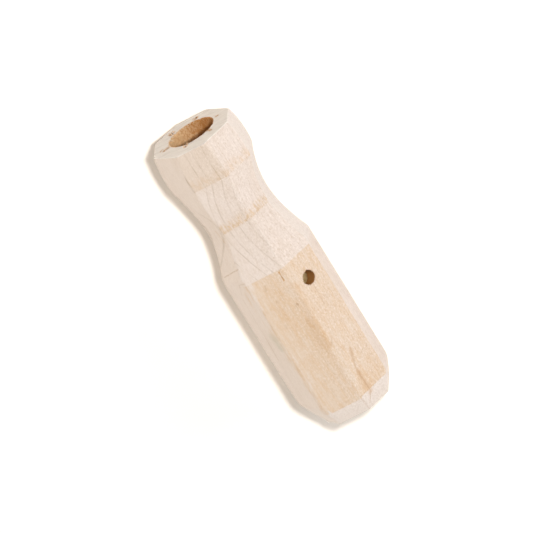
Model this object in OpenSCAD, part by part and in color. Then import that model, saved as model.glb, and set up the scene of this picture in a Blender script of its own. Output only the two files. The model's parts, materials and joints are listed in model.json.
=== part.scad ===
// Octagonal muddler grip, cut by hand from one stick of pale hardwood.
// A necked head carries a blind bore for a shank, and a steel pin crosses the body
// behind the floor of that bore.
//
// Frame: +X runs along the axis towards the bored head and +Z is up. The part lies on
// one of its eight flats, and the origin is the middle of its footprint.
// Stations such as neck_at are measured along the axis from the bored end face.
// All sizes are in millimetres.

/* [Length] */
// Overall length
length = 135.5; // [100:0.5:200]

/* [Body] */
// Distance across two opposite flats of the body
body_across = 38; // [30:0.5:50]
// Station where the neck meets the body
shoulder_at = 61; // [50:0.5:75]

/* [Head] */
// Distance across the flats at the bored end face
end_across = 34.2; // [28:0.2:40]
// Distance across the flats where the head is fullest
head_across = 36.2; // [30:0.2:44]
// Station where the head is fullest
head_full_at = 12; // [8:0.5:16]
// Station of the crisp edge between head and neck
head_edge_at = 17.3; // [14:0.1:24]

/* [Neck] */
// Distance across the flats at the thinnest point
neck_across = 28.4; // [24:0.2:36]
// Station of the thinnest point
neck_at = 39; // [30:0.5:48]
// How the neck swells towards the shoulder: 1 is straight, 2 is a parabola
neck_flare = 1.7; // [1:0.1:2.5]

/* [Foot] */
// Station where the chamfer round the plain end starts
chamfer_at = 126; // [115:0.5:132]
// Distance across the flats at the plain end face
foot_across = 29.6; // [24:0.2:36]

/* [Bore] */
// Diameter of the shank bore
bore_diameter = 20; // [10:0.5:24]
// Depth of the shank bore
bore_depth = 62; // [20:1:66]

/* [Cross pin] */
// Diameter of the cross hole, and of the pin pressed into it
pin_diameter = 6; // [3:0.5:8]
// Station of the cross hole
pin_at = 73.2; // [70:0.1:100]
// Depth of each pin end below its flat
pin_recess = 4.4; // [0.5:0.1:8]
// Chamfer on the rim of each pin end
pin_chamfer = 0.5; // [0.2:0.1:1]

/* [Prong marks] */
// Number of slits round the mouth of the bore
mark_count = 6; // [0:1:12]
// Distance of each slit from the axis
mark_radius = 12; // [11:0.1:14]
// Length, width and depth of one slit
mark_size = [1.8, 0.8, 2.5];
// Angle of the first slit, turned from +Z towards -Y
mark_turn = 49; // [0:1:60]

/* [Hidden] */

side_count = 8;
side_turn = 360 / side_count;
// Which side carries the cross hole, counted from the top flat towards -Y
pin_side = 1;

// The eight sides were cut one at a time, so each differs a little from the nominal.
// Each row is what one side adds to these, in this order:
// end half-width, neck half-width, neck station, shoulder station,
// body half-width, chamfer station, foot half-width.
side_trims = [
    [1.5, 0.0, 1.0, 1.4, 0.0, 1.8, -0.8],    // top, hardly narrowed at the bored end
    [0.8, 0.0, -1.0, 1.4, -0.4, 1.0, -0.6],  // cross hole
    [-0.1, -0.4, -2.5, -0.5, 0.0, -1.0, -0.2],
    [-1.2, -0.2, 0.0, 0.0, 0.1, 0.0, 0.2],
    [-1.1, 0.1, 0.0, 0.4, 0.0, 1.0, 0.0],    // resting
    [-0.3, 0.0, 0.5, 0.4, -0.2, 0.0, 0.0],
    [-0.1, 0.0, 0.0, -1.7, 0.2, -4.5, -2.0],
    [0.3, 1.8, 1.8, -3.5, 0.9, -3.0, -0.6],  // shallow neck, proud body
];

axis_height = body_across / 2;
head_x = length / 2;
through = 1;
$fn = 64;

function side_end(i) = end_across / 2 + side_trims[i][0];
function side_neck(i) = neck_across / 2 + side_trims[i][1];
function side_neck_at(i) = neck_at + side_trims[i][2];
function side_shoulder_at(i) = shoulder_at + side_trims[i][3];
function side_body(i) = body_across / 2 + side_trims[i][4];
function side_chamfer_at(i) = chamfer_at + side_trims[i][5];
function side_foot(i) = foot_across / 2 + side_trims[i][6];

// How far station s is from a, as a share of the way to b.
function share(s, a, b) = (s - a) / (b - a);

// A curve that leaves low at t = 0 with no slope and reaches high at t = 1.
function swell(low, high, t, power) = low + (high - low) * pow(t, power);

// Half-width of side i, from the axis to its surface, along each stretch.
function head_half(i, s) =
    swell(head_across / 2, side_end(i), abs(share(s, head_full_at, 0)), 2);
function neck_in_half(i, s) =
    swell(side_neck(i), head_half(i, head_edge_at), share(s, side_neck_at(i), head_edge_at), 2);
function neck_out_half(i, s) =
    swell(side_neck(i), side_body(i), share(s, side_neck_at(i), side_shoulder_at(i)), neck_flare);
function foot_half(i, s) =
    swell(side_body(i), side_foot(i), share(s, side_chamfer_at(i), length), 1.3);
function half_width(i, s) =
    s < head_edge_at ? head_half(i, s)
    : s < side_neck_at(i) ? neck_in_half(i, s)
    : s < side_shoulder_at(i) ? neck_out_half(i, s)
    : s < side_chamfer_at(i) ? side_body(i)
    : foot_half(i, s);

// A list in rising order, each value once.
function in_order(v) =
    len(v) < 2 ? v
    : concat(
        in_order([for (x = v) if (x < v[0]) x]),
        [v[0]],
        in_order([for (x = v) if (x > v[0]) x])
    );

head_steps = 6;
neck_steps = 13;
foot_steps = 2;
first_shoulder_at = min([for (i = [0:side_count - 1]) side_shoulder_at(i)]);
last_chamfer_at = max([for (i = [0:side_count - 1]) side_chamfer_at(i)]);

// Every station where some side turns, from the bored end to the plain end.
stations = in_order(concat(
    [for (k = [0:head_steps - 1]) head_edge_at * k / head_steps],
    [for (k = [0:neck_steps - 1])
        head_edge_at + (first_shoulder_at - head_edge_at) * k / neck_steps],
    [for (i = [0:side_count - 1]) side_shoulder_at(i)],
    [for (i = [0:side_count - 1]) side_chamfer_at(i)],
    [for (k = [1:foot_steps]) last_chamfer_at + (length - last_chamfer_at) * k / foot_steps]
));

function turned(y, z, a) = [y * cos(a) - z * sin(a), y * sin(a) + z * cos(a)];

// The ridge point where side i meets the next side, at station s.
function ridge_point(i, s) =
    let (
        here = half_width(i, s),
        next = half_width((i + 1) % side_count, s),
        along = (here * cos(side_turn) - next) / sin(side_turn),
        yz = turned(along, here, i * side_turn)
    )
    [head_x - s, yz[0], axis_height + yz[1]];

// Move to the axis and turn, so that +Z points out of side i.
module on_side(i) {
    translate([0, 0, axis_height])
        rotate([i * side_turn, 0, 0])
            children();
}

// The stick with all eight sides cut: one ring of ridge points per station.
module octagonal_blank() {
    n = side_count;
    last = len(stations) - 1;
    points = [for (s = stations) for (i = [0:n - 1]) ridge_point(i, s)];
    bored_end = [for (i = [0:n - 1]) i];
    plain_end = [for (i = [n - 1:-1:0]) last * n + i];
    flats = [
        for (k = [0:last - 1])
            for (i = [0:n - 1])
                let (j = (i + 1) % n)
                [k * n + i, (k + 1) * n + i, (k + 1) * n + j, k * n + j]
    ];
    polyhedron(points, concat([bored_end, plain_end], flats), convexity = 4);
}

module shank_bore() {
    translate([head_x - bore_depth, 0, axis_height])
        rotate([0, 90, 0])
            cylinder(d = bore_diameter, h = bore_depth + through);
}

module cross_hole() {
    on_side(pin_side)
        translate([head_x - pin_at, 0, 0])
            cylinder(d = pin_diameter, h = body_across + 2 * through, center = true);
}

module prong_marks() {
    for (k = [0:1:mark_count - 1])
        translate([head_x, 0, axis_height])
            rotate([mark_turn + k * 360 / mark_count, 0, 0])
                translate([0, 0, mark_radius])
                    cube([2 * mark_size[2], mark_size[1], mark_size[0]], center = true);
}

module wood_body() {
    color([0.87, 0.78, 0.66])
        difference() {
            octagonal_blank();
            shank_bore();
            cross_hole();
            prong_marks();
        }
}

module cross_pin() {
    opposite = pin_side + side_count / 2;
    r = pin_diameter / 2;
    top = side_body(pin_side) - pin_recess;
    bottom = pin_recess - side_body(opposite);
    color([0.52, 0.47, 0.42])
        on_side(pin_side)
            translate([head_x - pin_at, 0, 0])
                rotate_extrude()
                    polygon([
                        [0, bottom],
                        [r - pin_chamfer, bottom],
                        [r, bottom + pin_chamfer],
                        [r, top - pin_chamfer],
                        [r - pin_chamfer, top],
                        [0, top],
                    ]);
}

wood_body();
cross_pin();
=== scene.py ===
"""The look of the muddler grip: a hand-cut octagonal stick with a torn bore mouth, and its cross pin.

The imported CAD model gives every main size. The wooden body is felt on the CAD body with rays and
rebuilt with eased ridges, tool ripple, cuts and burrs. Lengths inside this script are millimetres
in the part's own directions, and turn into metres where meshes are made. A station is a distance
along the axis from the bored end face. Side 0 is the top flat, and the sides are counted from
there towards -Y.
"""

import json
import math

import bmesh
import bpy
from mathutils import Matrix, Vector, noise
from mathutils.bvhtree import BVHTree


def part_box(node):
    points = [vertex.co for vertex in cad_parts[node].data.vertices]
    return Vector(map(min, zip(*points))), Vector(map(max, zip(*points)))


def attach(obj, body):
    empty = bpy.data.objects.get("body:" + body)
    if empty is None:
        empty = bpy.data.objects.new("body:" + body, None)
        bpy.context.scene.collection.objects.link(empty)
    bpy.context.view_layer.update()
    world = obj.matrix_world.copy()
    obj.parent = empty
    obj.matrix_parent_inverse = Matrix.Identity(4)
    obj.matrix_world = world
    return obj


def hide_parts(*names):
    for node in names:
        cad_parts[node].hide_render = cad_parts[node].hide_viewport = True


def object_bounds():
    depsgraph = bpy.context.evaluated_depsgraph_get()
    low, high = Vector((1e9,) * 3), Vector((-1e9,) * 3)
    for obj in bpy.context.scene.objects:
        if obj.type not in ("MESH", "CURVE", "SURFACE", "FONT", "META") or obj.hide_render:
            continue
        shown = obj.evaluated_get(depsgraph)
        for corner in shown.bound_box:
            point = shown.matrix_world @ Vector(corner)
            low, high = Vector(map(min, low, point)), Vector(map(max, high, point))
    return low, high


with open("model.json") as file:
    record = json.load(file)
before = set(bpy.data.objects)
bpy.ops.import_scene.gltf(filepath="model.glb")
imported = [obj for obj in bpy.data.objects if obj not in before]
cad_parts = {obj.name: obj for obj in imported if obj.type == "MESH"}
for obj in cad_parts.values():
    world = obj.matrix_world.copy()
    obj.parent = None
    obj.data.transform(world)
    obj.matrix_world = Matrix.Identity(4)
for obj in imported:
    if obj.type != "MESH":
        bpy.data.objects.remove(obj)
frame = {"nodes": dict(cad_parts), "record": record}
cad_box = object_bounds()

MM = 0.001
SIDES = 8
TURN = 2 * math.pi / SIDES

wood_low, wood_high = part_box("wood_body")
pin_low, pin_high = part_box("cross_pin")
LENGTH = (wood_high.x - wood_low.x) / MM
HEAD_X = wood_high.x / MM
AXIS_Z = (wood_low.z + wood_high.z) / 2 / MM
bore = next(m for m in frame["record"]["mounts"] if m["name"] == "shank_bore")
BORE_R = bore["dims"]["r_mm"]
BORE_DEPTH = bore["dims"]["length_mm"]
PIN_R = (pin_high.x - pin_low.x) / 2 / MM
PIN_AT = HEAD_X - (pin_low.x + pin_high.x) / 2 / MM
PIN_SIDE = 1

# Stations of the head's crisp edge and of the tanned band round the neck, and each side's shoulder
# and foot chamfer. The CAD body has the edge, shoulders and chamfers as shape, not as numbers.
HEAD_EDGE_AT = 17.3
NECK_AT = 38.0
SHOULDERS = [62.4, 62.4, 60.5, 61.0, 61.4, 61.4, 59.3, 57.5]
CHAMFERS = [127.8, 127.0, 125.0, 126.0, 127.0, 126.0, 121.5, 123.0]
# Sides that still show the stick's old tanned skin. The others were planed to fresh wood.
SKIN_SIDES = (0, 1, 4, 5)
# Painted light: the top flat is painted a little lighter and the flat with the cross hole a little darker,
# except at the head, to stand in for how the light falls on them.
PAINTED_SIDE_LIGHT = [1.05, 0.97, 1.0, 1.0, 1.0, 1.0, 1.0, 1.0]

# The growth rings are nearly flat sheets. This is their normal, with a small drift along the axis.
RING_NORMAL = Vector((-0.0213, 0.561, 0.828))
RING_ACROSS = Vector((0.0, 0.828, -0.561))
RING_DRIFT = 0.0213
RING_WIDTH = 2.1
# Depth, strength and half-width of each ring that shows as a line near the top flat.
SHOWN_RINGS = [
    (10.4, 0.24, 0.24),
    (12.7, 0.30, 0.24),
    (15.2, 0.32, 0.24),
    (16.75, 0.36, 0.22),
    (19.30, 0.50, 0.10),
    (21.3, 0.25, 0.24),
]
DEEP_RINGS = 9.3


def outward(angle):
    """Unit vector out of the axis, at an angle from +Z towards -Y."""
    return Vector((0.0, -math.sin(angle), math.cos(angle)))


def sideways(angle):
    return Vector((0.0, -math.cos(angle), -math.sin(angle)))


def clamp(value, low, high):
    return max(low, min(high, value))


def smooth_step(low, high, value):
    t = clamp((value - low) / (high - low), 0.0, 1.0)
    return t * t * (3 - 2 * t)


def wander(x, y, z):
    """Smooth seeded noise from -1 to 1."""
    return noise.noise(Vector((x, y, z)))


# ---- The eight sides, felt on the CAD body ----------------------------------------------------

STEP = 0.25
EASE = 0.6


def cad_tree():
    mesh = frame["nodes"]["wood_body"].data
    return BVHTree.FromPolygons([v.co for v in mesh.vertices], [p.vertices for p in mesh.polygons])


def felt_half_width(tree, side, station):
    """Distance from the axis to one flat, felt beside its middle to miss the cross hole."""
    aside = 0.3
    direction = outward(side * TURN + aside)
    x = HEAD_X - clamp(station, 0.01, LENGTH - 0.01)
    middle = Vector((x, 0.0, AXIS_Z)) * MM
    hit = tree.ray_cast(middle + direction * 0.1, -direction)[0]
    return (hit - middle).length / MM * math.cos(aside)


def eased(values):
    """The curve with its corners rounded over about EASE, and its two ends kept."""
    reach = int(3 * EASE / STEP)
    weights = [math.exp(-0.5 * (k * STEP / EASE) ** 2) for k in range(-reach, reach + 1)]
    result = []
    for i in range(len(values)):
        span = min(reach, i, len(values) - 1 - i)
        used = [(values[i + k], weights[k + reach]) for k in range(-span, span + 1)]
        result.append(sum(v * w for v, w in used) / sum(w for _, w in used))
    return result


def side_profiles():
    tree = cad_tree()
    count = int(LENGTH / STEP) + 1
    return [eased([felt_half_width(tree, i, k * STEP) for k in range(count)]) for i in range(SIDES)]


PROFILES = side_profiles()


def profile(side, station):
    at = clamp(station, 0.0, LENGTH) / STEP
    k = min(int(at), len(PROFILES[side]) - 2)
    share = at - k
    return PROFILES[side][k] * (1 - share) + PROFILES[side][k + 1] * share


# Side 7 was cut at a slant: its shoulder sits nearer the head beside the top flat.
# Its foot chamfer slants the other way.
SLANT_SIDE = 7
SLANT = 0.28
FOOT_SLANT = 0.4


def half_width(side, station, offset):
    """Distance of the surface from the axis, on a side, offset towards the next side."""
    if side == SLANT_SIDE:
        near_shoulder = smooth_step(44.0, 52.0, station) * (1 - smooth_step(66.0, 72.0, station))
        near_foot = smooth_step(110.0, 118.0, station)
        station += (SLANT * near_shoulder - FOOT_SLANT * near_foot) * offset
    ripple = 0.06 * wander(station / 11, offset / 9, side * 7.3)
    chatter = 0.015 * wander(station / 1.7, offset / 14, side * 3.1)
    return profile(side, station) + ripple + chatter


# ---- Rings of points round the body -----------------------------------------------------------

FLAT_POINTS = 18


def ridge(side, station):
    """The corner between a side and the next, as (y, z) from the axis."""
    reach = 0.414 * profile(side, station)
    here = half_width(side, station, reach)
    after = half_width((side + 1) % SIDES, station, -reach)
    offset = (after - here * math.cos(TURN)) / math.sin(TURN)
    return outward(side * TURN) * here + sideways(side * TURN) * offset


def ridge_ease(side, station):
    """How far from the corner the ridge starts to turn. Hand work leaves it uneven."""
    return 0.34 + 0.16 * wander(station / 5, side * 11.7, 2.0)


def side_points(side, station, start, end):
    """Points of one flat from the ridge before it to the ridge after it."""
    along = (end - start).normalized()
    first = start + along * ridge_ease(side - 1, station)
    last = end - along * ridge_ease(side, station)
    points = []
    for k in range(FLAT_POINTS + 2):
        flat = first.lerp(last, k / (FLAT_POINTS + 1))
        offset = flat.dot(sideways(side * TURN))
        height = half_width(side, station, offset)
        points.append(outward(side * TURN) * height + sideways(side * TURN) * offset)
    return points


def body_ring(station, inset=0.0):
    corners = [ridge(i, station) for i in range(SIDES)]
    flats = [side_points(i, station, corners[i - 1], corners[i]) for i in range(SIDES)]
    ring = []
    for i in range(SIDES):
        ring.append((flats[i - 1][-1] + flats[i][0]) / 4 + corners[i - 1] / 2)
        ring.extend(flats[i])
    return [p * (1 - inset / p.length) for p in ring]


RIM = 0.3
END_RING = body_ring(0.0, RIM)
RING_COUNT = len(END_RING)


def circle_ring(radius_at):
    """A ring at the end ring's own angles, with its radius from a function of the direction."""
    return [p.normalized() * radius_at(p.normalized()) for p in END_RING]


# ---- The closed body: bore floor, bore, end face, sides, plain end face ------------------------


def steps(start, end, spacing):
    count = max(1, round((end - start) / spacing))
    return [start + (end - start) * k / count for k in range(count)]


def bore_radius(direction, depth):
    coarse = wander(direction.y * 3, direction.z * 3, depth / 7)
    fine = wander(direction.y * 14, direction.z * 14, depth / 1.2)
    torn = 0.80 * max(0.0, wander(direction.y * 4.5, direction.z * 4.5, 9.0)) * math.exp(-depth / 0.9)
    return BORE_R + 0.05 * coarse + 0.05 * fine + torn


def bore_rings():
    """From the bore floor up to its mouth, as (station, points) pairs."""
    rings = []
    for share in (0.08, 0.35, 0.65, 0.9, 0.98):
        rings.append((BORE_DEPTH + 0.6 * (1 - share), circle_ring(lambda d, r=share: BORE_R * r)))
    depths = steps(RIM, 12.0, 0.6) + steps(12.0, 30.0, 1.5) + steps(30.0, BORE_DEPTH, 4.0)
    for depth in reversed(depths + [BORE_DEPTH - 0.2]):
        rings.append((depth, circle_ring(lambda d, at=depth: bore_radius(d, at))))
    for angle in (30, 60):
        turn = math.radians(angle)
        depth = RIM * (1 - math.sin(turn))
        out = RIM * (1 - math.cos(turn))
        rings.append((depth, circle_ring(lambda d, at=depth, o=out: bore_radius(d, at) + o)))
    return rings


def end_face_rings():
    """From the bore's mouth out to the rim of the head."""
    rings = []
    count = 22
    mouth = circle_ring(lambda d: bore_radius(d, 0.0) + RIM)
    for k in range(count):
        share = k / count
        ring = [a.lerp(b, share) for a, b in zip(mouth, END_RING)]
        rings.append((0.0, ring))
    return rings


def rim_rings(station, inward):
    """The eased rim between an end face and the sides, from the face outwards."""
    rings = []
    for angle in (0, 30, 60):
        turn = math.radians(angle)
        depth = RIM * (1 - math.cos(turn))
        inset = RIM * (1 - math.sin(turn))
        at = station + inward * depth
        rings.append((at, body_ring(at, inset)))
    return rings


def side_rings():
    close = steps(RIM, 16.0, 0.75) + steps(16.0, 19.0, 0.4) + steps(19.0, 53.0, 0.75)
    shoulder = steps(53.0, 65.0, 0.4)
    body = steps(65.0, 120.0, 1.0)
    foot = steps(120.0, LENGTH - RIM, 0.5) + [LENGTH - RIM]
    return [(s, body_ring(s)) for s in close + shoulder + body + foot]


def foot_rings():
    outline = body_ring(LENGTH, RIM)
    shares = [k / 12 for k in range(1, 12)] + [0.97]
    return [(LENGTH, [p * (1 - share) for p in outline]) for share in shares]


def face_relief(station, point):
    """Small saw and tear relief on the two end faces, along the axis."""
    if RIM < station < LENGTH - RIM:
        return 0.0
    r = point.length
    if station < LENGTH / 2 and r < BORE_R + 0.15:
        return 0.0
    into = 1.0 if station < LENGTH / 2 else -1.0
    rough = 0.03 * wander(point.y / 1.5, point.z / 1.5, station) + 0.03 * wander(point.y / 5, point.z / 5, 4)
    return into * (0.05 + rough)


def body_vertex(station, point):
    x = HEAD_X - station - face_relief(station, point)
    return Vector((x, point.y, AXIS_Z + point.z)) * MM


def wood_mesh():
    """One closed mesh through all the rings, with a fan at each end of the chain."""
    rings = bore_rings() + end_face_rings() + rim_rings(0.0, 1.0) + side_rings()
    rings += list(reversed(rim_rings(LENGTH, -1.0))) + foot_rings()
    mesh = bmesh.new()
    rows = [[mesh.verts.new(body_vertex(s, p)) for p in points] for s, points in rings]
    floor_middle = mesh.verts.new(Vector((HEAD_X - BORE_DEPTH - 0.6, 0.0, AXIS_Z)) * MM)
    foot_middle = mesh.verts.new(Vector((HEAD_X - LENGTH + 0.05, 0.0, AXIS_Z)) * MM)
    for j in range(RING_COUNT):
        after = (j + 1) % RING_COUNT
        mesh.faces.new((floor_middle, rows[0][after], rows[0][j]))
        mesh.faces.new((foot_middle, rows[-1][j], rows[-1][after]))
        for near, far in zip(rows, rows[1:]):
            mesh.faces.new((near[j], near[after], far[after], far[j]))
    bmesh.ops.recalc_face_normals(mesh, faces=mesh.faces)
    return mesh


# ---- Cuts made with a tool shape ---------------------------------------------------------------


def on_side(side, station, offset, lift=0.0):
    """A point on a side's surface, in millimetres in the part's frame."""
    height = half_width(side, station, offset) + lift
    across = outward(side * TURN) * height + sideways(side * TURN) * offset
    return Vector((HEAD_X - station, across.y, AXIS_Z + across.z))


def loft(mesh, rings):
    """Adds a closed solid through rings of points, which all hold the same number."""
    rows = [[mesh.verts.new(p * MM) for p in ring] for ring in rings]
    count = len(rows[0])
    mesh.faces.new(rows[0])
    mesh.faces.new(list(reversed(rows[-1])))
    for near, far in zip(rows, rows[1:]):
        for j in range(count):
            after = (j + 1) % count
            mesh.faces.new((near[after], near[j], far[j], far[after]))


# Keeps the drawn hole wall just clear of the pin that is pressed into it.
PIN_GAP = 0.01


def cross_hole_cutter(mesh):
    """A drill shape across the body, a little ragged and opened where it breaks out."""
    out = outward(PIN_SIDE * TURN)
    beside = sideways(PIN_SIDE * TURN)
    middle = Vector((HEAD_X - PIN_AT, 0.0, AXIS_Z))
    near = profile(PIN_SIDE, PIN_AT)
    far = profile(PIN_SIDE + SIDES // 2, PIN_AT)
    rings = []
    depths = (-2.0, 0.0, 0.25, 0.7, 2.0)
    heights = [-far + depth for depth in depths] + [near - depth for depth in reversed(depths)]
    for height in heights:
        depth = min(near - height, far + height)
        ring = []
        for k in range(64):
            a = 2 * math.pi * k / 64
            torn = 0.08 + 0.65 * wander(math.cos(a) * 6.0, math.sin(a) * 6.0, 3 + height / 4)
            radius = PIN_R + PIN_GAP + max(-0.25, torn) * math.exp(-max(depth, 0.0) / 0.35)
            around = Vector((math.cos(a), 0, 0)) * radius + beside * math.sin(a) * radius
            ring.append(middle + out * height + around)
        rings.append(ring)
    loft(mesh, rings)


# Outline of one slit as shares of its length and of half its width, from the inner tip round.
SLIT_OUTLINE = [
    (0.0, 0.0),
    (0.25, 0.55),
    (0.6, 1.0),
    (0.85, 0.8),
    (1.0, 0.0),
    (0.8, -0.9),
    (0.55, -1.0),
    (0.2, -0.45),
]


def slit_cutter(mesh, angle, inner, outer, width, depth, seed):
    """A torn slit in the end face, along the radius at an angle, deepest at its outer part."""
    out = outward(angle)
    beside = sideways(angle)
    rings = []
    for level, shrink in ((-0.6, 1.0), (0.0, 1.0), (0.5, 0.75), (1.0, 0.25)):
        ring = []
        for k, (along, across) in enumerate(SLIT_OUTLINE):
            wobble = 1 + 0.5 * wander(k * 1.7, seed, level)
            r = inner + (outer - inner) * (0.62 + (along - 0.62) * shrink)
            side = across * width / 2 * shrink * wobble
            p = out * r + beside * side
            ring.append(Vector((HEAD_X - depth * level, p.y, AXIS_Z + p.z)))
        rings.append(ring)
    loft(mesh, rings)


def gouge_cutter(mesh, side, start, end, width, depth):
    """A lens-shaped gouge on a side, from one (station, offset) to another."""
    rings = []
    for level, shrink in ((0.4, 1.0), (0.0, 1.0), (-0.6, 0.6), (-1.0, 0.15)):
        ring = []
        for k in range(12):
            a = 2 * math.pi * k / 12
            along = 0.5 + 0.5 * math.cos(a) * shrink
            station = start[0] + (end[0] - start[0]) * along
            offset = start[1] + (end[1] - start[1]) * along + math.sin(a) * width / 2 * shrink
            ring.append(on_side(side, station, offset, depth * level))
        rings.append(ring)
    loft(mesh, rings)


# Angle, inner and outer radius, width and depth of each torn mark round the bore.
MARKS = [
    (48.4, 10.9, 12.9, 1.2, 1.2),
    (-9.0, 10.8, 12.9, 1.2, 1.2),
    (-65.5, 9.6, 13.6, 1.5, 1.3),
    (-130.5, 10.9, 13.4, 1.6, 1.5),
    (171.5, 10.8, 13.2, 1.3, 1.5),
    (106.0, 11.4, 12.8, 0.7, 0.6),
]


def cutter():
    mesh = bmesh.new()
    cross_hole_cutter(mesh)
    for k, (angle, inner, outer, width, depth) in enumerate(MARKS):
        slit_cutter(mesh, math.radians(angle), inner, outer, width, depth, k * 5.1)
    gouge_cutter(mesh, side=0, start=(63.0, 5.1), end=(67.6, 5.3), width=0.4, depth=0.3)
    bmesh.ops.recalc_face_normals(mesh, faces=mesh.faces)
    return mesh


def new_object(name, mesh, smooth_angle=50):
    data = bpy.data.meshes.new(name)
    mesh.to_mesh(data)
    mesh.free()
    data.shade_smooth()
    data.set_sharp_from_angle(angle=math.radians(smooth_angle))
    made = bpy.data.objects.new(name, data)
    bpy.context.scene.collection.objects.link(made)
    return made


def cut(target, tool):
    """Take the tool's shape out of the target's mesh for good."""
    modifier = target.modifiers.new("cut", "BOOLEAN")
    modifier.operation = "DIFFERENCE"
    modifier.solver = "EXACT"
    modifier.object = tool
    bpy.context.view_layer.update()
    graph = bpy.context.evaluated_depsgraph_get()
    result = bpy.data.meshes.new_from_object(target.evaluated_get(graph))
    target.modifiers.clear()
    target.data = result
    bpy.data.objects.remove(tool)
    result.shade_smooth()
    result.set_sharp_from_angle(angle=math.radians(50))


# ---- Facts about the surface that the shader needs ---------------------------------------------


def side_of(point):
    """The side whose flat a point is nearest to."""
    angle = math.atan2(-point.y, point.z)
    nearest = round(angle / TURN)
    best = None
    for side in (nearest - 1, nearest, nearest + 1):
        station = HEAD_X - point.x
        gap = profile(side % SIDES, station) - point.dot(outward(side * TURN))
        if best is None or gap < best[0]:
            best = (gap, side % SIDES)
    return best[1]


def write_skin(data):
    """Three numbers at each vertex: depth inside the tanned skin, if its side has skin, and its side's
    painted light, lighter on the top flat and darker on the cross-hole flat.
    """
    inside = data.attributes.new("skin_depth", "FLOAT", "POINT")
    has_skin = data.attributes.new("skin_side", "FLOAT", "POINT")
    tone = data.attributes.new("painted_side_light", "FLOAT", "POINT")
    for k, vertex in enumerate(data.vertices):
        point = vertex.co / MM - Vector((0.0, 0.0, AXIS_Z))
        station = HEAD_X - point.x
        side = side_of(point)
        depth = min(station - SHOULDERS[side], CHAMFERS[side] - station)
        on_skin = side in SKIN_SIDES
        inside.data[k].value = depth if on_skin else -3.0
        has_skin.data[k].value = 1.0 if on_skin else 0.0
        on_head = station < HEAD_EDGE_AT
        tone.data[k].value = min(PAINTED_SIDE_LIGHT[side], 1.0) if on_head else PAINTED_SIDE_LIGHT[side]


# ---- Burrs standing at the torn marks ----------------------------------------------------------


def sliver(mesh, points, width, thickness):
    """A thin fibre bundle through points, pointed at its free end."""
    rings = []
    for k, point in enumerate(points):
        ahead = points[min(k + 1, len(points) - 1)] - points[max(k - 1, 0)]
        across = ahead.cross(Vector((1, 0, 0)))
        if across.length < 1e-6:
            across = Vector((0, 1, 0))
        across.normalize()
        up = ahead.cross(across).normalized()
        size = (1 - k / (len(points) - 1)) ** 0.7 * 0.9 + 0.1
        rings.append(
            [
                point + across * math.cos(a) * width * size / 2 + up * math.sin(a) * thickness * size / 2
                for a in (2 * math.pi * j / 6 for j in range(6))
            ]
        )
    loft(mesh, rings)


# Angle, root radius, tip radius, how far the tip leans round the bore, and its height over the face.
BURRS = [
    (172.5, 11.8, 8.4, 0.6, 0.35),
    (168.0, 12.9, 10.2, -0.9, 0.60),
    (177.0, 12.6, 11.2, 0.8, 0.40),
    (-126.0, 12.6, 9.6, 0.8, 0.60),
    (-133.0, 13.0, 11.0, -1.4, 0.70),
    (-131.0, 12.4, 14.6, 0.5, 0.50),
    (-137.0, 11.8, 13.4, -0.9, 0.40),
    (-67.0, 13.2, 9.2, 0.3, 0.45),
    (-71.0, 14.9, 12.4, -0.4, 0.45),
    (-6.0, 12.0, 9.4, 0.8, 0.60),
    (-13.0, 12.6, 10.6, -0.9, 0.45),
    (46.0, 12.6, 9.6, -0.8, 0.50),
    (51.0, 12.0, 10.2, 0.7, 0.40),
    (104.0, 12.4, 11.0, 0.5, 0.25),
]
# The torn part of the bore's mouth: first and last angle, and how many short fibres lean in there.
FRAYED = (-178.0, -72.0, 22)


def fibre_points(angle, root, tip, lean, height):
    """Points along a fibre that leaves the end face and bends back towards its tip."""
    out = outward(math.radians(angle))
    beside = sideways(math.radians(angle))
    points = []
    for k in range(7):
        t = k / 6
        p = out * (root + (tip - root) * t) + beside * lean * t * t
        lift = height * math.sin(math.pi * min(1.0, t * 1.1)) - 0.12 * (1 - t) - 0.25 * t * t * (tip < BORE_R)
        points.append(Vector((HEAD_X + lift, p.y, AXIS_Z + p.z)))
    return points


def burr_mesh():
    mesh = bmesh.new()
    for burr in BURRS:
        sliver(mesh, fibre_points(*burr), 0.60, 0.22)
    bmesh.ops.recalc_face_normals(mesh, faces=mesh.faces)
    return mesh


def fray_mesh():
    """Short pale fibres leaning in from the torn part of the bore's mouth."""
    mesh = bmesh.new()
    first, last, count = FRAYED
    for k in range(count):
        chance = 2.4 * wander(k * 2.3, 4.0, 1.0)
        angle = first + (last - first) * (k + 0.5 + chance) / count
        root = BORE_R + 0.75 + 0.3 * wander(k * 3.1, 8.0, 2.0)
        tip = BORE_R - 1.1 + 2.6 * wander(k * 1.9, 2.0, 6.0)
        lean = 4.0 * wander(k * 2.7, 6.0, 5.0)
        sliver(mesh, fibre_points(angle, root, tip, lean, 0.2), 0.50, 0.18)
    bmesh.ops.recalc_face_normals(mesh, faces=mesh.faces)
    return mesh


# ---- Shader graph helper -----------------------------------------------------------------------


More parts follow.
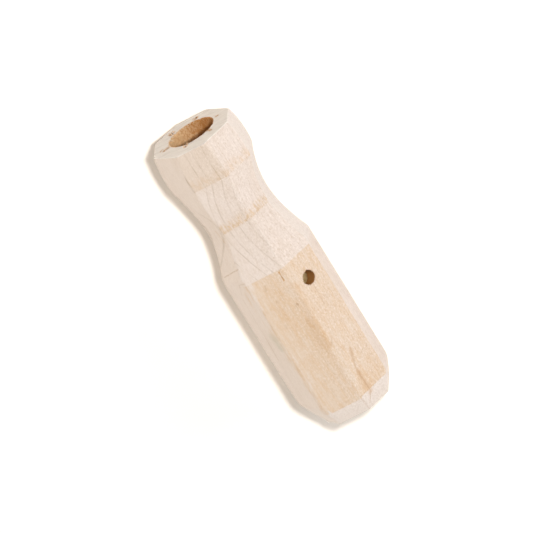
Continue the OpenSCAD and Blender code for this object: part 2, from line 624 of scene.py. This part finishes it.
class Graph:
    """A material's node tree with short calls. Each call returns an output socket."""

    def __init__(self, name):
        self.material = bpy.data.materials.new(name)
        self.material.use_nodes = True
        self.tree = self.material.node_tree
        self.shader = self.tree.nodes["Principled BSDF"]

    def node(self, kind, **settings):
        made = self.tree.nodes.new(kind)
        for key, value in settings.items():
            setattr(made, key, value)
        return made

    def put(self, socket, value):
        if isinstance(value, bpy.types.NodeSocket):
            self.tree.links.new(value, socket)
        elif value is not None:
            socket.default_value = value

    def math(self, operation, a, b=None, c=None, use_clamp=False):
        made = self.node("ShaderNodeMath", operation=operation, use_clamp=use_clamp)
        for socket, value in zip(made.inputs, (a, b, c)):
            self.put(socket, value)
        return made.outputs[0]

    def vector(self, operation, a, b=None):
        made = self.node("ShaderNodeVectorMath", operation=operation)
        self.put(made.inputs[0], a)
        self.put(made.inputs[1], b)
        return made.outputs["Value" if operation in ("DOT_PRODUCT", "LENGTH") else "Vector"]

    def scaled(self, vector, factor):
        made = self.node("ShaderNodeVectorMath", operation="SCALE")
        self.put(made.inputs[0], vector)
        self.put(made.inputs["Scale"], factor)
        return made.outputs["Vector"]

    def join(self, x, y, z):
        made = self.node("ShaderNodeCombineXYZ")
        for socket, value in zip(made.inputs, (x, y, z)):
            self.put(socket, value)
        return made.outputs[0]

    def noise(self, at, detail=2.0, roughness=0.5):
        made = self.node("ShaderNodeTexNoise")
        self.put(made.inputs["Vector"], at)
        self.put(made.inputs["Scale"], 1.0)
        self.put(made.inputs["Detail"], detail)
        self.put(made.inputs["Roughness"], roughness)
        return made.outputs["Fac"]

    def ramp(self, value, low, high, to_low=0.0, to_high=1.0):
        """Smooth change from to_low to to_high while value goes from low to high."""
        made = self.node("ShaderNodeMapRange", interpolation_type="SMOOTHSTEP")
        ends = {"From Min": low, "From Max": high, "To Min": to_low, "To Max": to_high}
        self.put(made.inputs["Value"], value)
        for name, item in ends.items():
            self.put(made.inputs[name], item)
        return made.outputs["Result"]

    def mix(self, share, a, b, blend="MIX"):
        made = self.node("ShaderNodeMix", data_type="RGBA", blend_type=blend)
        self.put(made.inputs["Factor"], share)
        colours = [socket for socket in made.inputs if socket.type == "RGBA"]
        self.put(colours[0], a)
        self.put(colours[1], b)
        return next(socket for socket in made.outputs if socket.type == "RGBA")

    def attribute(self, name):
        return self.node("ShaderNodeAttribute", attribute_name=name).outputs["Fac"]

    def product(self, *values):
        total = values[0]
        for value in values[1:]:
            total = self.math("MULTIPLY", total, value)
        return total

    def most(self, *values):
        total = values[0]
        for value in values[1:]:
            total = self.math("MAXIMUM", total, value)
        return total

    def segment(self, at, a, b, width, soft):
        """1 on the line from a to b, fading to 0 past its width."""
        line = b - a
        from_a = self.vector("SUBTRACT", at, a)
        reached = self.vector("DOT_PRODUCT", from_a, line)
        share = self.math("MULTIPLY", reached, 1 / line.length_squared, use_clamp=True)
        on_line = self.scaled(tuple(line), share)
        gap = self.vector("LENGTH", self.vector("SUBTRACT", from_a, on_line))
        return self.ramp(gap, width / 2, width / 2 + soft, 1.0, 0.0)

    def path(self, at, points, width, soft):
        return self.most(*[self.segment(at, a, b, width, soft) for a, b in zip(points, points[1:])])

    def blob(self, at, middle, size):
        """1 in the middle of an ellipsoid, fading to 0 at its surface."""
        shifted = self.vector("SUBTRACT", at, middle)
        reach = self.vector("LENGTH", self.vector("DIVIDE", shifted, size))
        return self.ramp(reach, 0.35, 1.0, 1.0, 0.0)


def rgb(r, g, b):
    return (r, g, b, 1.0)


# ---- Wood --------------------------------------------------------------------------------------

PALE = rgb(0.600, 0.516, 0.452)
PALE_DEEP = rgb(0.550, 0.457, 0.380)
PALE_FRESH = rgb(0.595, 0.548, 0.505)
PALE_FLECK = rgb(0.720, 0.635, 0.555)
TAN = rgb(0.572, 0.460, 0.358)
TAN_DEEP = rgb(0.532, 0.370, 0.234)
BAND = rgb(0.480, 0.310, 0.155)
ORANGE = rgb(0.430, 0.235, 0.085)
SMUDGE = rgb(0.380, 0.340, 0.240)
CRACK = rgb(0.330, 0.205, 0.110)
RING_LINE = rgb(0.290, 0.215, 0.135)
FLECK = rgb(0.330, 0.215, 0.130)
END_GRAIN = rgb(0.605, 0.550, 0.488)
END_LINE = rgb(0.440, 0.375, 0.320)
BORE_WOOD = rgb(0.575, 0.375, 0.195)
# Dark bore wood for the mottle, also used as painted shade on the bore's -Y side.
BORE_DARK_AND_SHADE = rgb(0.370, 0.155, 0.042)
# Painted shade for the wall of the cross hole.
HOLE_SHADE = rgb(0.310, 0.140, 0.038)
# Dark torn wood at the cross hole's rim, also used as painted shade in the torn slits.
TORN_AND_SHADE = rgb(0.240, 0.090, 0.020)


class WoodPlace:
    """Where a shaded point is in the stick: its station, radius and place among the rings."""

    def __init__(self, g):
        object_at = g.node("ShaderNodeTexCoord").outputs["Object"]
        self.mm = g.scaled(object_at, 1 / MM)
        self.centred = g.vector("SUBTRACT", self.mm, (0.0, 0.0, AXIS_Z))
        split = g.node("ShaderNodeSeparateXYZ")
        g.put(split.inputs[0], self.centred)
        self.x, self.y, self.z = split.outputs
        self.station = g.math("SUBTRACT", HEAD_X, self.x)
        self.radius = g.vector("LENGTH", g.vector("MULTIPLY", self.centred, (0.0, 1.0, 1.0)))
        flat_depth = g.vector("DOT_PRODUCT", self.centred, RING_NORMAL)
        self.depth = g.math("ADD", flat_depth, RING_DRIFT * HEAD_X)
        self.across = g.vector("DOT_PRODUCT", self.centred, RING_ACROSS)

    def fibres(self, g, along, through, across, detail=2.0, roughness=0.5):
        """Noise drawn out along the grain: the three lengths are its size in millimetres."""
        at = g.join(
            g.math("MULTIPLY", self.x, 1 / along),
            g.math("MULTIPLY", self.depth, 1 / through),
            g.math("MULTIPLY", self.across, 1 / across),
        )
        return g.noise(at, detail, roughness)


def ring_lines(g, place, body_skin):
    """Thin latewood lines where the surface meets the growth rings, broken here and there."""
    sway = g.math("MULTIPLY_ADD", place.fibres(g, 22, 6, 10, 1.0), 0.5, -0.25)
    depth = g.math("ADD", place.depth, sway)
    turns = g.math("FRACT", g.math("MULTIPLY_ADD", depth, 1 / RING_WIDTH, 0.5))
    gap = g.math("MULTIPLY", g.math("ABSOLUTE", g.math("SUBTRACT", turns, 0.5)), RING_WIDTH)
    deep = g.math("LESS_THAN", depth, DEEP_RINGS)
    line = g.product(g.ramp(gap, 0.04, 0.22, 0.15, 0.0), deep)
    for at, strength, half in SHOWN_RINGS:
        gap = g.math("ABSOLUTE", g.math("SUBTRACT", depth, at))
        line = g.most(line, g.ramp(gap, 0.2 * half, half, strength, 0.0))
    broken = g.ramp(place.fibres(g, 9, 2.5, 4, 2.0), 0.34, 0.60, 0.35, 1.0)
    under_skin = g.ramp(body_skin, 0.0, 1.0, 1.0, 0.22)
    # The slanted side's head and shoulder and the foot chamfers were sanded and show them less.
    on_shoulder = g.product(g.ramp(place.station, 52.0, 57.0), g.ramp(place.y, 4.0, 6.5), 0.85)
    on_foot = g.ramp(place.station, 120.0, 125.0, 0.0, 0.75)
    on_head = g.product(g.ramp(place.station, 24.0, 30.0, 0.9, 0.0), g.ramp(place.y, 8.5, 10.5))
    kept = g.math("SUBTRACT", 1.0, g.most(on_shoulder, on_foot, on_head))
    return g.product(line, broken, under_skin, kept)


def skin_masks(g, place):
    """Where the old tanned skin shows: the body, the head, its edge, and a band at the neck."""
    ragged = g.math("MULTIPLY_ADD", place.fibres(g, 3, 1.2, 1.2, 2.0), 0.3, -0.15)
    body = g.ramp(g.math("ADD", g.attribute("skin_depth"), ragged), -0.15, 0.20)
    # The skin runs unevenly over the ridge onto the slanted side, where the plane did not reach.
    uneven = g.math("MULTIPLY_ADD", place.fibres(g, 12, 2.2, 2.2, 4.0, 0.75), 15.0, -7.5)
    edge_at = g.math("MULTIPLY_ADD", uneven, -1.2, place.y)
    over_ridge = g.ramp(edge_at, 7.6, 11.4, 1.0, 0.0)
    body = g.math("MULTIPLY", body, g.most(over_ridge, g.ramp(place.z, 4.0, 8.0, 1.0, 0.0)))
    past_ridge = g.product(
        g.ramp(place.y, 7.6, 8.2),
        g.ramp(place.z, 10.0, 13.0),
        g.ramp(place.station, SHOULDERS[0], SHOULDERS[0] + 0.5),
        g.ramp(place.station, CHAMFERS[0] - 0.5, CHAMFERS[0], 1.0, 0.0),
    )
    body = g.most(body, g.math("MULTIPLY", over_ridge, past_ridge))

    has_skin = g.attribute("skin_side")
    comb = g.math("MULTIPLY_ADD", place.fibres(g, 30, 0.8, 0.8, 2.0), 6.0, -3.0)
    patchy = g.ramp(place.fibres(g, 4, 2.2, 2.2, 2.0), 0.36, 0.62, 0.15, 1.0)
    head_end = g.ramp(place.station, HEAD_EDGE_AT - 0.1, HEAD_EDGE_AT + 0.15, 1.0, 0.0)
    head_edge = g.ramp(g.math("ADD", place.station, comb), HEAD_EDGE_AT - 6.5, HEAD_EDGE_AT)
    head_edge = g.product(has_skin, head_edge, head_end, patchy)
    head = g.product(has_skin, head_end, g.ramp(place.y, -9.0, -6.5))

    neck_middle = g.math("ADD", NECK_AT, g.math("MULTIPLY", place.y, 0.06))
    from_neck = g.math("SUBTRACT", place.station, neck_middle)
    neck_start = g.ramp(g.math("ADD", from_neck, g.math("MULTIPLY", comb, 0.7)), -3.6, -0.2)
    neck_end = g.ramp(from_neck, 1.2, 2.2, 1.0, 0.0)
    spots = g.ramp(place.fibres(g, 2.2, 1.0, 1.0, 3.0, 0.65), 0.36, 0.64, 0.10, 1.0)
    neck = g.product(neck_start, neck_end, has_skin, spots)
    return body, head, head_edge, neck


def surface_marks(g, place):
    """Masks for the cracks and nicks, for the orange stains, and for a grey smudge."""
    nudge = g.node("ShaderNodeTexNoise")
    g.put(nudge.inputs["Vector"], g.vector("MULTIPLY", place.mm, (0.5, 1.4, 1.4)))
    g.put(nudge.inputs["Scale"], 1.0)
    shifted = g.vector("SUBTRACT", nudge.outputs["Color"], (0.5, 0.5, 0.5))
    at = g.vector("ADD", place.mm, g.scaled(shifted, 0.9))

    def line(side, points, width, soft, strength):
        mask = g.path(at, [on_side(side, s, t) for s, t in points], width, soft)
        return g.math("MULTIPLY", mask, strength)

    thin = g.most(
        line(7, [(58.7, -6.5), (56.4, 1.3), (54.1, 9.3)], 0.15, 0.35, 0.42),
        line(7, [(61.2, 7.5), (61.5, 5.2), (62.0, 2.0)], 0.10, 0.30, 0.25),
        line(7, [(62.5, 2.0), (67.4, -0.3)], 0.10, 0.35, 0.20),
        line(7, [(69.0, -1.1), (88.4, -1.8)], 0.10, 0.40, 0.15),
        line(7, [(88.4, -1.8), (99.2, -2.6)], 0.10, 0.50, 0.30),
        line(0, [(78.7, 4.6), (79.4, 4.8)], 0.20, 0.40, 0.50),
        line(0, [(66.0, -2.7), (68.1, -3.5)], 0.20, 0.60, 0.25),
        line(0, [(74.0, -1.9), (74.8, -1.9)], 0.20, 0.60, 0.25),
        line(0, [(85.0, -4.3), (86.2, -4.3)], 0.20, 0.60, 0.20),
        line(0, [(128.1, 6.8), (135.3, 6.2)], 0.10, 0.55, 0.30),
        line(1, [(77.0, 0.2), (86.0, -0.3)], 0.10, 0.50, 0.25),
        line(1, [(98.7, -5.6), (101.8, -7.4)], 0.15, 0.70, 0.30),
        line(1, [(108.1, -0.9), (110.9, -1.8), (114.9, -3.2), (121.2, -3.7)], 0.15, 0.70, 0.30),
        line(1, [(119.0, -3.6), (127.8, -3.1), (132.4, -4.9)], 0.15, 0.60, 0.42),
    )
    broad = g.most(
        line(0, [(63.2, 5.2), (67.4, 5.2)], 0.30, 0.35, 0.80),
        line(0, [(88.0, 5.0), (100.5, 5.6)], 1.2, 3.0, 0.22),
        line(0, [(72.0, 8.0), (98.0, 7.2)], 0.8, 2.4, 0.22),
        line(1, [(108.5, -1.0), (113.0, -2.8)], 0.4, 1.2, 0.30),
        line(1, [(119.0, -3.6), (128.0, -3.2)], 0.8, 2.0, 0.32),
        line(1, [(69.0, 0.0), (70.0, 0.2)], 0.4, 1.0, 0.30),
        line(7, [(38.0, 1.0), (44.0, 3.2)], 0.15, 0.40, 0.30),
    )
    smudge = g.product(line(7, [(88.5, 3.2), (93.5, 4.0)], 1.2, 2.6, 0.75), place.fibres(g, 3, 1, 1, 3.0))
    return thin, broad, smudge


def inside_masks(g, place):
    """The end grain faces, the bore wall, the cross hole wall and the torn slits."""
    head_face = g.ramp(place.station, 0.22, 0.42, 1.0, 0.0)
    foot_face = g.ramp(place.station, LENGTH - 0.42, LENGTH - 0.22)
    end = g.most(head_face, foot_face)
    in_bore = g.ramp(place.radius, BORE_R + 0.2, BORE_R + 0.45, 1.0, 0.0)
    in_bore = g.product(in_bore, g.math("LESS_THAN", place.station, BORE_DEPTH + 2.0))
    out = outward(PIN_SIDE * TURN)
    middle = Vector((HEAD_X - PIN_AT, 0.0, AXIS_Z))
    from_middle = g.vector("SUBTRACT", place.mm, middle)
    along = g.vector("DOT_PRODUCT", from_middle, out)
    aside = g.vector("SUBTRACT", from_middle, g.scaled(tuple(out), along))
    gap = g.vector("LENGTH", aside)
    surface = profile(PIN_SIDE, PIN_AT)
    below = g.ramp(g.math("ABSOLUTE", along), surface - 0.35, surface - 0.1, 1.0, 0.0)
    in_hole = g.product(g.ramp(gap, PIN_R + 0.1, PIN_R + 0.3, 1.0, 0.0), below)
    rim = g.ramp(gap, PIN_R + 0.1, PIN_R + 0.6, 1.0, 0.0)
    slits = []
    halos = []
    for angle, inner, outer, width, _ in MARKS:
        heading = outward(math.radians(angle))
        a = Vector((HEAD_X, 0.0, AXIS_Z)) + heading * (inner + (outer - inner) * 0.45)
        b = Vector((HEAD_X, 0.0, AXIS_Z)) + heading * (outer - 0.25)
        slits.append(g.segment(place.mm, a, b, width * 0.5, 0.3))
        halos.append(g.segment(place.mm, a, b, width * 0.6, 0.9))
    return end, in_bore, in_hole, rim, g.most(*slits), g.most(*halos)


def wood_tones(g, place):
    """The pale and the tanned wood before lines and marks, and the fine grain in both."""
    streaks = place.fibres(g, 26, 0.8, 0.8, 3.0, 0.6)
    mottle = place.fibres(g, 6, 2.2, 2.2, 3.0, 0.6)
    clouds = place.fibres(g, 24, 8, 8, 2.0)
    tone = g.math("MULTIPLY_ADD", streaks, 0.45, g.math("MULTIPLY", mottle, 0.25))
    tone = g.math("MULTIPLY_ADD", clouds, 0.30, tone)
    even_side = g.ramp(place.y, 7.0, 11.0, 1.0, 0.45)
    pale = g.mix(g.product(g.ramp(tone, 0.38, 0.66), even_side), PALE, PALE_DEEP)
    planed = g.product(
        g.math("SUBTRACT", 1.0, g.attribute("skin_side")),
        g.ramp(place.y, -12.0, -9.0, 0.7, 0.0),
        g.ramp(place.station, 60.0, 66.0, 1.0, 0.25),
    )
    pale = g.mix(g.most(planed, g.ramp(place.station, 123.0, 126.0, 0.0, 0.35)), pale, PALE_FRESH)
    patches = g.most(
        g.math("MULTIPLY", g.blob(place.mm, on_side(0, 79.0, 0.5), (17.0, 8.0, 8.0)), 0.45),
        g.math("MULTIPLY", g.blob(place.mm, on_side(0, 95.0, 4.4), (13.0, 5.4, 5.4)), 0.80),
        g.math("MULTIPLY", g.blob(place.mm, on_side(1, 124.0, -1.0), (12.0, 7.0, 7.0)), 0.35),
    )
    tan_tone = g.math("MULTIPLY_ADD", mottle, 0.6, g.math("MULTIPLY", streaks, 0.4))
    tan_tone = g.math("ADD", g.ramp(tan_tone, 0.34, 0.70, 0.0, 0.75), g.product(patches, mottle, 1.1))
    tan = g.mix(g.math("MINIMUM", tan_tone, 1.0), TAN, TAN_DEEP)
    return pale, tan, streaks


def fine_grain(g, place, colour, flecks):
    """Pores and bright rays, strong on the sides towards -Y and weak on the slanted side."""
    grit = g.noise(g.vector("MULTIPLY", place.mm, (0.9, 1.5, 1.5)), 3.0, 0.75)
    share = g.ramp(place.y, -9.0, 9.0, 1.0, 0.35)
    colour = g.mix(g.product(g.ramp(grit, 0.50, 0.72, 0.0, 0.30), share), colour, FLECK)
    colour = g.mix(g.product(g.ramp(grit, 0.28, 0.50, 0.55, 0.0), share), colour, PALE_FLECK)
    return g.mix(g.product(g.ramp(flecks, 0.50, 0.72, 0.0, 0.38), share), colour, FLECK)


def inside_colours(g, place, colour, line):
    """The colour with the end faces, the bore, the cross hole and the torn slits painted in, with painted
    shade on the bore's -Y side, on the cross hole's wall and in the slits.
    """
    end, in_bore, in_hole, rim, slits, halos = inside_masks(g, place)
    saw = g.noise(g.vector("MULTIPLY", place.mm, (0.2, 0.16, 1.1)), 3.0, 0.7)
    end_tone = g.mix(g.ramp(saw, 0.42, 0.70, 0.0, 0.50), END_GRAIN, END_LINE)
    end_tone = g.mix(g.math("MULTIPLY", line, 0.5), end_tone, END_LINE)
    end_tone = g.mix(g.math("MULTIPLY", halos, 0.55), end_tone, ORANGE)
    colour = g.mix(end, colour, end_tone)
    fluff = g.noise(g.vector("MULTIPLY", place.mm, (0.8, 1.5, 1.5)), 4.0, 0.7)
    # Painted shade: the bore wall is painted darker towards -Y, the side of the bore that lies in shade.
    painted_bore_shade = g.ramp(place.y, -5.0, 12.0, 0.88, 0.02)
    bore_mottle_and_shade = g.math("ADD", painted_bore_shade, g.ramp(fluff, 0.35, 0.65, 0.38, -0.32), use_clamp=True)
    colour = g.mix(in_bore, colour, g.mix(bore_mottle_and_shade, BORE_WOOD, BORE_DARK_AND_SHADE))
    colour = g.mix(g.math("MULTIPLY", rim, 0.25), colour, TORN_AND_SHADE)
    # Painted shade: the cross hole's wall is painted dark brown, as the shade inside the hole.
    colour = g.mix(in_hole, colour, HOLE_SHADE)
    # Painted shade: the slits are painted nearly black-brown, as the shade inside them.
    colour = g.mix(g.math("MULTIPLY", slits, 0.85), colour, TORN_AND_SHADE)
    return colour, g.math("MULTIPLY", fluff, g.most(end, in_bore))


def wood_material():
    g = Graph("bare_wood")
    place = WoodPlace(g)
    pale, tan, streaks = wood_tones(g, place)
    body_skin, head_skin, head_edge, neck_skin = skin_masks(g, place)
    colour = g.mix(body_skin, pale, tan)
    colour = g.mix(g.math("MULTIPLY", head_skin, 0.55), colour, TAN)
    colour = g.mix(g.math("MULTIPLY", head_edge, 0.50), colour, TAN_DEEP)
    colour = g.mix(g.math("MULTIPLY", neck_skin, 0.62), colour, BAND)

    line = ring_lines(g, place, body_skin)
    colour = g.mix(line, colour, RING_LINE)
    fibres = place.fibres(g, 5, 0.28, 0.28, 2.0)
    flecks = place.fibres(g, 1.1, 0.5, 0.35, 2.0, 0.7)
    colour = fine_grain(g, place, colour, flecks)
    fine = g.math("MULTIPLY_ADD", fibres, 0.5, g.math("MULTIPLY", flecks, 0.5))
    colour = g.mix(g.ramp(fine, 0.32, 0.68, 0.12, 0.0), colour, FLECK)

    # Painted light: each side's colour is scaled by its painted side light, lighter on the top flat and
    # darker on the cross-hole flat.
    colour = g.mix(1.0, colour, g.attribute("painted_side_light"), "MULTIPLY")

    colour, inside_relief = inside_colours(g, place, colour, line)
    thin, broad, smudge = surface_marks(g, place)
    colour = g.mix(smudge, colour, SMUDGE)
    colour = g.mix(broad, colour, ORANGE)
    colour = g.mix(thin, colour, CRACK)
    g.put(g.shader.inputs["Base Color"], colour)

    g.put(g.shader.inputs["Roughness"], g.ramp(fine, 0.3, 0.75, 0.75, 0.62))
    g.shader.inputs["Specular IOR Level"].default_value = 0.25

    relief = g.math("MULTIPLY_ADD", fibres, 0.5, g.math("MULTIPLY", streaks, 0.3))
    relief = g.math("MULTIPLY_ADD", flecks, 0.5, relief)
    relief = g.math("ADD", relief, inside_relief)
    relief = g.math("SUBTRACT", relief, g.math("MULTIPLY", g.most(line, thin), 0.4))
    bump = g.node("ShaderNodeBump")
    bump.inputs["Strength"].default_value = 0.5
    bump.inputs["Distance"].default_value = 0.15 * MM
    g.put(bump.inputs["Height"], relief)
    g.put(g.shader.inputs["Normal"], bump.outputs[0])
    return g.material


def fibre_material(name, dark, light):
    """Torn fibre, with fine streaks between a dark and a light tone."""
    g = Graph(name)
    place = WoodPlace(g)
    fibres = place.fibres(g, 2, 0.25, 0.25, 2.0)
    g.put(g.shader.inputs["Base Color"], g.mix(g.ramp(fibres, 0.35, 0.65), dark, light))
    g.put(g.shader.inputs["Roughness"], g.ramp(fibres, 0.3, 0.7, 0.8, 0.6))
    return g.material


def pin_material():
    """Dull steel painted brown, as painted shade and light bounced off the wood inside the hole, with turned
    scratches on its ends.
    """
    g = Graph("steel_painted_shade_and_bounce")
    object_at = g.node("ShaderNodeTexCoord").outputs["Object"]
    mm = g.scaled(object_at, 1 / MM)
    tint_patches = g.noise(g.vector("MULTIPLY", mm, (0.7, 0.7, 0.7)), 4.0, 0.6)
    grit = g.noise(g.vector("MULTIPLY", mm, (5.0, 5.0, 5.0)), 2.0)
    from_axis = g.vector("SUBTRACT", mm, (HEAD_X - PIN_AT, 0.0, AXIS_Z))
    out = outward(PIN_SIDE * TURN)
    along = g.vector("DOT_PRODUCT", from_axis, out)
    gap = g.vector("LENGTH", g.vector("SUBTRACT", from_axis, g.scaled(tuple(out), along)))
    turned = g.math("SINE", g.math("MULTIPLY", gap, 22.0))
    # Painted shade and bounce light: the metal is painted in dark browns, for the shade and the light bounced
    # off the wood inside the cross hole.
    metal = g.mix(g.ramp(tint_patches, 0.35, 0.65), rgb(0.37, 0.27, 0.125), rgb(0.25, 0.15, 0.052))
    metal = g.mix(g.ramp(grit, 0.5, 0.8, 0.0, 0.4), metal, rgb(0.12, 0.06, 0.025))
    g.put(g.shader.inputs["Base Color"], metal)
    g.shader.inputs["Metallic"].default_value = 0.35
    g.put(g.shader.inputs["Roughness"], g.ramp(tint_patches, 0.3, 0.7, 0.50, 0.75))
    bump = g.node("ShaderNodeBump")
    bump.inputs["Strength"].default_value = 0.2
    bump.inputs["Distance"].default_value = 0.05 * MM
    g.put(bump.inputs["Height"], g.math("ADD", g.math("MULTIPLY", turned, 0.2), grit))
    g.put(g.shader.inputs["Normal"], bump.outputs[0])
    return g.material


def paint(piece, material):
    piece.data.materials.clear()
    piece.data.materials.append(material)


# ---- The pieces --------------------------------------------------------------------------------


def build_wood():
    body = new_object("wood_grip", wood_mesh())
    cut(body, new_object("cutter", cutter()))
    write_skin(body.data)
    paint(body, wood_material())
    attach(body, "root")
    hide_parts("wood_body")


def build_burrs():
    burrs = new_object("bore_burrs", burr_mesh())
    paint(burrs, fibre_material("burr_fibre", rgb(0.30, 0.12, 0.03), rgb(0.74, 0.56, 0.37)))
    fray = new_object("mouth_fray", fray_mesh())
    paint(fray, fibre_material("pale_fibre", rgb(0.46, 0.29, 0.15), rgb(0.62, 0.48, 0.33)))
    for piece in (burrs, fray):
        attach(piece, "root")


def finish_pin():
    pin = frame["nodes"]["cross_pin"]
    paint(pin, pin_material())
    bevel = pin.modifiers.new("edge", "BEVEL")
    bevel.width = 0.08 * MM
    bevel.segments = 2
    bevel.limit_method = "ANGLE"


# ---- Camera, floor and light -------------------------------------------------------------------

LENS = 800.0
SENSOR = 36.0
FRAME_WIDTH = 213.2
VIEW_RIGHT = Vector((-0.4935, -0.868, -0.0311))
VIEW_UP = Vector((0.799, -0.439, -0.408))
# From the middle of the bored end face to the middle of the view, along those two, in millimetres.
AIM_RIGHT = 30.2
AIM_UP = -53.8


def build_camera():
    right = VIEW_RIGHT.normalized()
    back = right.cross(VIEW_UP).normalized()
    up = back.cross(right)
    aim = Vector((HEAD_X, 0.0, AXIS_Z)) + right * AIM_RIGHT + up * AIM_UP
    distance = LENS / SENSOR * FRAME_WIDTH
    data = bpy.data.cameras.new("camera")
    data.lens = LENS
    data.sensor_width = SENSOR
    data.clip_end = 50.0
    camera = bpy.data.objects.new("camera", data)
    turn = Matrix((right, up, back)).transposed().to_4x4()
    camera.matrix_world = Matrix.Translation((aim + back * distance) * MM) @ turn
    bpy.context.scene.collection.objects.link(camera)
    bpy.context.scene.camera = camera


def floor_material():
    g = Graph("pale_floor")
    g.shader.inputs["Base Color"].default_value = rgb(0.96, 0.885, 0.80)
    g.shader.inputs["Roughness"].default_value = 0.9
    g.shader.inputs["Specular IOR Level"].default_value = 0.1
    return g.material


def build_floor():
    reach = 4.0
    data = bpy.data.meshes.new("floor")
    corners = [(-reach, -reach, 0), (reach, -reach, 0), (reach, reach, 0), (-reach, reach, 0)]
    data.from_pydata(corners, [], [(0, 1, 2, 3)])
    floor = bpy.data.objects.new("floor", data)
    floor.location.z = cad_box[0][2] - 0.05 * MM
    bpy.context.scene.collection.objects.link(floor)
    paint(floor, floor_material())


LIGHT_DISTANCE = 1.2
# Name, direction it comes from, size in metres, power and colour of each studio light.
LIGHTS = [
    ("key", (0.33, -0.32, 0.90), 0.10, 12.2, (0.99, 1.0, 1.02)),
    ("right", (0.0, -0.90, 0.30), 0.80, 8.3, (0.99, 1.03, 1.12)),
    ("left", (0.0, 0.90, 0.30), 0.80, 9.4, (1.04, 0.99, 0.91)),
    ("back", (-0.90, 0.0, 0.25), 0.80, 9.6, (1.0, 1.0, 1.0)),
    ("front", (0.90, 0.0, 0.30), 0.80, 3.8, (1.0, 1.0, 1.0)),
]


def area_light(name, direction, size, power, colour):
    data = bpy.data.lights.new(name, "AREA")
    data.shape = "DISK"
    data.size = size
    data.energy = power
    data.color = colour
    light = bpy.data.objects.new(name, data)
    heading = Vector(direction).normalized()
    light.location = heading * LIGHT_DISTANCE
    light.rotation_euler = heading.to_track_quat("Z", "Y").to_euler()
    bpy.context.scene.collection.objects.link(light)


def build_light():
    world = bpy.data.worlds.new("studio")
    bpy.context.scene.world = world
    world.use_nodes = True
    background = world.node_tree.nodes["Background"]
    background.inputs["Color"].default_value = rgb(1.0, 1.0, 1.0)
    background.inputs["Strength"].default_value = 0.05
    for name, direction, size, power, colour in LIGHTS:
        area_light(name, direction, size, power, colour)
    bpy.context.scene.view_settings.view_transform = "Standard"


build_camera()
build_floor()
build_light()
build_wood()
build_burrs()
finish_pin()
